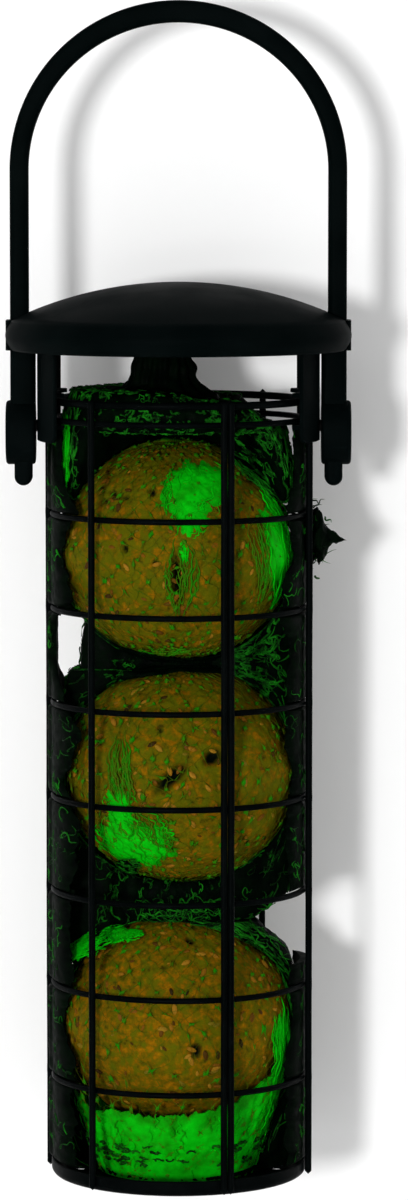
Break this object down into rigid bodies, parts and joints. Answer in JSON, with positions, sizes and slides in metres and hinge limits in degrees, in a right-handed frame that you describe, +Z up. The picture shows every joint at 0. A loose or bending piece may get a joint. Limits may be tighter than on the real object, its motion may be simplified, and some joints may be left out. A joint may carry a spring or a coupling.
{
  "type": "suet feeder",
  "caption": "Hanging suet ball feeder: welded wire cage under a domed lid that slides on a bow handle, holding netted fat balls.",
  "frame": {"origin": "inside of the bail's crown, on the centreline, where the hook bears", "axes": "+Z up along the feeder, from the cage to the hook; X across the bail, along the two pivots; -Y is the front of the cage, with the mesh seam"},
  "size_m": [0.0928, 0.0926, 0.3165],
  "materials": {
    "black_plastic": "black moulded plastic with a fine satin grain, a little rubbed at its edges",
    "coated_wire": "black powder coat on steel, semi-gloss, slightly uneven at the welds",
    "dark_rivet": "blackened steel rivet",
    "suet": "rough pressed fat with seed, bran and husks",
    "green_net": "thin extruded green net, slightly glossy"
  },
  "bodies": {
    "bail": {"bail_handle": "black_plastic"},
    "lid": {"lid": "black_plastic"},
    "cage": {"left_bracket": "black_plastic", "right_bracket": "black_plastic", "left_pivot_rivet": "dark_rivet", "right_pivot_rivet": "dark_rivet", "rim_ring": "coated_wire", "mesh_ring_1": "coated_wire", "mesh_ring_2": "coated_wire", "mesh_ring_3": "coated_wire", "mesh_ring_4": "coated_wire", "mesh_ring_5": "coated_wire", "mesh_ring_6": "coated_wire", "mesh_ring_7": "coated_wire", "mesh_ring_8": "coated_wire", "upright_wire_1": "coated_wire", "upright_wire_2": "coated_wire", "upright_wire_3": "coated_wire", "upright_wire_4": "coated_wire", "upright_wire_5": "coated_wire", "upright_wire_6": "coated_wire", "upright_wire_7": "coated_wire", "base_dish": "coated_wire"},
    "lower_ball": {"lower_suet_ball": "suet", "lower_net": "green_net", "lower_net_end": "green_net", "bottom_net_end": "green_net"},
    "middle_ball": {"middle_suet_ball": "suet", "middle_net": "green_net", "middle_net_end": "green_net"},
    "upper_ball": {"upper_suet_ball": "suet", "upper_net": "green_net", "upper_net_end": "green_net"}
  },
  "joints": [
    {"name": "lid_slide", "type": "slide", "parent": "bail", "child": "lid", "axis": [0, 0, 1], "range_m": [0, 0.04]},
    {"name": "cage_swing", "type": "hinge", "parent": "bail", "child": "cage", "pos_m": [0, 0, -0.1075], "axis": [1, 0, 0], "range_deg": [-60, 60]},
    {"name": "lower_ball_lift", "type": "slide", "parent": "cage", "child": "lower_ball", "axis": [0, 0, 1], "range_m": [0, 0.004]},
    {"name": "middle_ball_lift", "type": "slide", "parent": "lower_ball", "child": "middle_ball", "axis": [0, 0, 1], "range_m": [0, 0.004]},
    {"name": "upper_ball_lift", "type": "slide", "parent": "middle_ball", "child": "upper_ball", "axis": [0, 0, 1], "range_m": [0, 0.004]}
  ]
}
